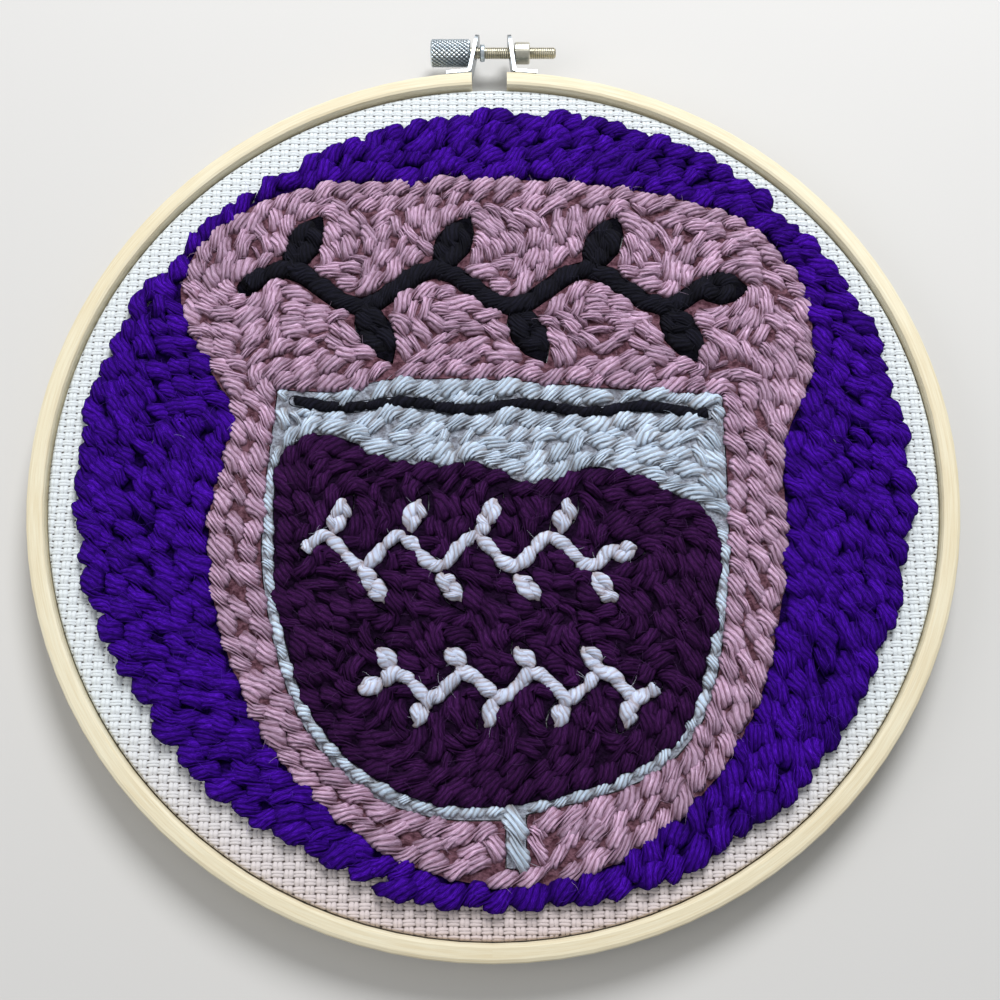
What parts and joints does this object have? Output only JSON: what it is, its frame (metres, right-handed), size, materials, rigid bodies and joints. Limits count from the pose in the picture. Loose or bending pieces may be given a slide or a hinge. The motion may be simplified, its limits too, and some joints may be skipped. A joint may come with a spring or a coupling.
{
  "type": "punch needle wall piece in an embroidery hoop",
  "caption": "Round punch needle wall piece of a wine vessel in wool yarn on off-white cloth, stretched in a pale wooden embroidery hoop with a thumb screw.",
  "frame": {"origin": "middle of the object's box in plan, at the back face of the inner hoop that it rests on", "axes": "+Z out of the yarn pile, +Y to the top of the picture where the screw is, +X to the right of the picture"},
  "size_m": [0.216, 0.2286, 0.0137],
  "materials": {
    "inner_hoop_wood": "bare sanded pale wood",
    "outer_hoop_wood": "bare sanded pale wood",
    "ground_cloth_weave": "off-white cotton basket weave",
    "purple_yarn": "soft matt wool yarn",
    "mauve_yarn": "soft matt wool yarn",
    "pale_yarn": "soft matt wool yarn",
    "plum_yarn": "soft matt wool yarn",
    "rim_yarn": "soft matt wool yarn",
    "garland_yarn": "soft matt wool yarn",
    "upper_sprig_yarn": "soft matt wool yarn",
    "lower_sprig_yarn": "soft matt wool yarn",
    "lug_left_zinc": "zinc plated strip",
    "lug_right_zinc": "zinc plated strip",
    "thumb_screw_zinc": "zinc plated, knurled head",
    "barrel_nut_zinc": "zinc plated, turned"
  },
  "bodies": {
    "hoop": {"inner_hoop": "inner_hoop_wood", "outer_hoop": "outer_hoop_wood", "ground_cloth": "ground_cloth_weave", "purple_ground": "purple_yarn", "mauve_surround": "mauve_yarn", "pale_glass": "pale_yarn", "plum_wine": "plum_yarn", "black_rim_line": "rim_yarn", "black_garland": "garland_yarn", "white_sprig_upper": "upper_sprig_yarn", "white_sprig_lower": "lower_sprig_yarn", "lug_left": "lug_left_zinc", "lug_right": "lug_right_zinc", "barrel_nut": "barrel_nut_zinc"},
    "screw": {"thumb_screw": "thumb_screw_zinc"}
  },
  "joints": [
    {"name": "thumb_screw_turn", "type": "hinge", "parent": "hoop", "child": "screw", "pos_m": [0, 0.10987, 0.00735], "axis": [1, 0, 0], "continuous": true}
  ]
}
